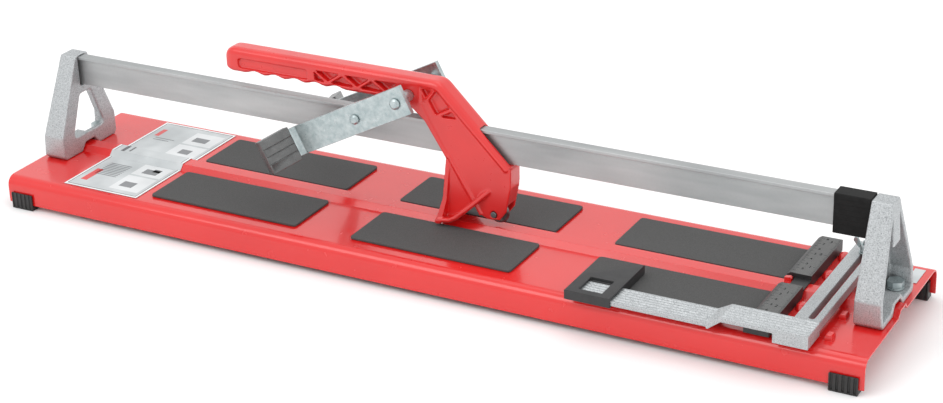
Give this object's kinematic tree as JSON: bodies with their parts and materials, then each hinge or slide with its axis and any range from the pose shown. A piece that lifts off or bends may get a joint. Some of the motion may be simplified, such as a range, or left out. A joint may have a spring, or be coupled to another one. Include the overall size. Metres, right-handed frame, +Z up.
{
  "type": "manual tile cutter",
  "caption": "Manual rail tile cutter with a sliding scoring handle, hinged breaker arms, padded steel base, end ruler and sliding angle guide.",
  "frame": {"origin": "on the floor under the middle of the object's outline", "axes": "+X along the rail towards the ruler end, +Y towards the rear, +Z up"},
  "size_m": [0.8288, 0.1906, 0.1626],
  "materials": {
    "red_paint": "glossy powder coat",
    "cast_aluminium": "as-cast, fine grained",
    "zinc_steel": "bright zinc plated",
    "galvanised_steel": "galvanised, satin",
    "dark_steel": "oiled tool steel",
    "pad_rubber": "matt cellular rubber",
    "black_rubber": "satin moulded rubber",
    "black_plastic": "fine moulded texture",
    "nylon": "natural nylon",
    "label_film": "printed film"
  },
  "bodies": {
    "base": {"base_plate": "red_paint", "foot_front_left": "black_rubber", "foot_front_right": "black_rubber", "foot_rear_left": "black_rubber", "foot_rear_right": "black_rubber", "pad_front_1": "pad_rubber", "pad_front_2": "pad_rubber", "pad_front_3": "pad_rubber", "pad_rear_1": "pad_rubber", "pad_rear_2": "pad_rubber", "pad_rear_3": "pad_rubber", "pylon_left": "cast_aluminium", "pylon_right": "cast_aluminium", "pylon_bolt_front_left": "zinc_steel", "pylon_bolt_front_right": "zinc_steel", "pylon_bolt_rear_left": "zinc_steel", "pylon_bolt_rear_right": "zinc_steel", "pylon_washer_front_left": "zinc_steel", "pylon_washer_front_right": "zinc_steel", "pylon_washer_rear_left": "zinc_steel", "pylon_washer_rear_right": "zinc_steel", "pylon_nut_front_left": "zinc_steel", "pylon_nut_front_right": "zinc_steel", "pylon_nut_rear_left": "zinc_steel", "pylon_nut_rear_right": "zinc_steel", "rail": "galvanised_steel", "rail_set_screw_left": "dark_steel", "rail_set_screw_right": "dark_steel", "rail_bumper": "black_rubber", "ruler_bar": "black_plastic", "ruler_screw_front": "dark_steel", "ruler_screw_rear": "dark_steel", "guide_bolt": "zinc_steel", "guide_washer": "zinc_steel", "label_left": "label_film", "label_right": "label_film"},
    "carriage": {"slide_shoe": "nylon"},
    "handle": {"handle": "red_paint", "wheel_pin": "dark_steel", "pivot_bolt": "zinc_steel", "pivot_nut": "zinc_steel", "pivot_spacer_front": "zinc_steel", "pivot_spacer_rear": "zinc_steel"},
    "wheel": {"scoring_wheel": "dark_steel"},
    "breaker": {"breaker_arm_front": "zinc_steel", "breaker_arm_rear": "zinc_steel", "breaker_pad_front": "black_rubber", "breaker_pad_rear": "black_rubber", "tie_pin": "zinc_steel"},
    "guide": {"angle_guide": "cast_aluminium"},
    "corner": {"guide_corner": "black_plastic"},
    "wing_nut": {"guide_wing_nut": "zinc_steel"}
  },
  "joints": [
    {"name": "carriage_slide", "type": "slide", "parent": "base", "child": "carriage", "axis": [1, 0, 0], "range_m": [-0.316, 0.275]},
    {"name": "handle_lift", "type": "hinge", "parent": "carriage", "child": "handle", "pos_m": [0.056, 0.00225, 0.0905], "axis": [0, 1, 0], "range_deg": [0, 44]},
    {"name": "breaker_swing", "type": "hinge", "parent": "handle", "child": "breaker", "pos_m": [-0.0235, 0.00225, 0.1461], "axis": [0, 1, 0], "range_deg": [-93, 0]},
    {"name": "wheel_spin", "type": "hinge", "parent": "handle", "child": "wheel", "pos_m": [0.0548, 0.00225, 0.0475], "axis": [0, 1, 0], "continuous": true},
    {"name": "guide_slide", "type": "slide", "parent": "base", "child": "guide", "axis": [0, 1, 0], "range_m": [0, 0.019]},
    {"name": "corner_slide", "type": "slide", "parent": "guide", "child": "corner", "axis": [1, 0, 0], "range_m": [0, 0.08]},
    {"name": "wing_nut_turn", "type": "hinge", "parent": "base", "child": "wing_nut", "pos_m": [0.36168, 0.06425, 0.0445], "axis": [0, 0, 1], "continuous": true}
  ],
  "couplings": [
    {"joint": "breaker_swing", "follows": "handle_lift", "ratio": -2.1}
  ]
}
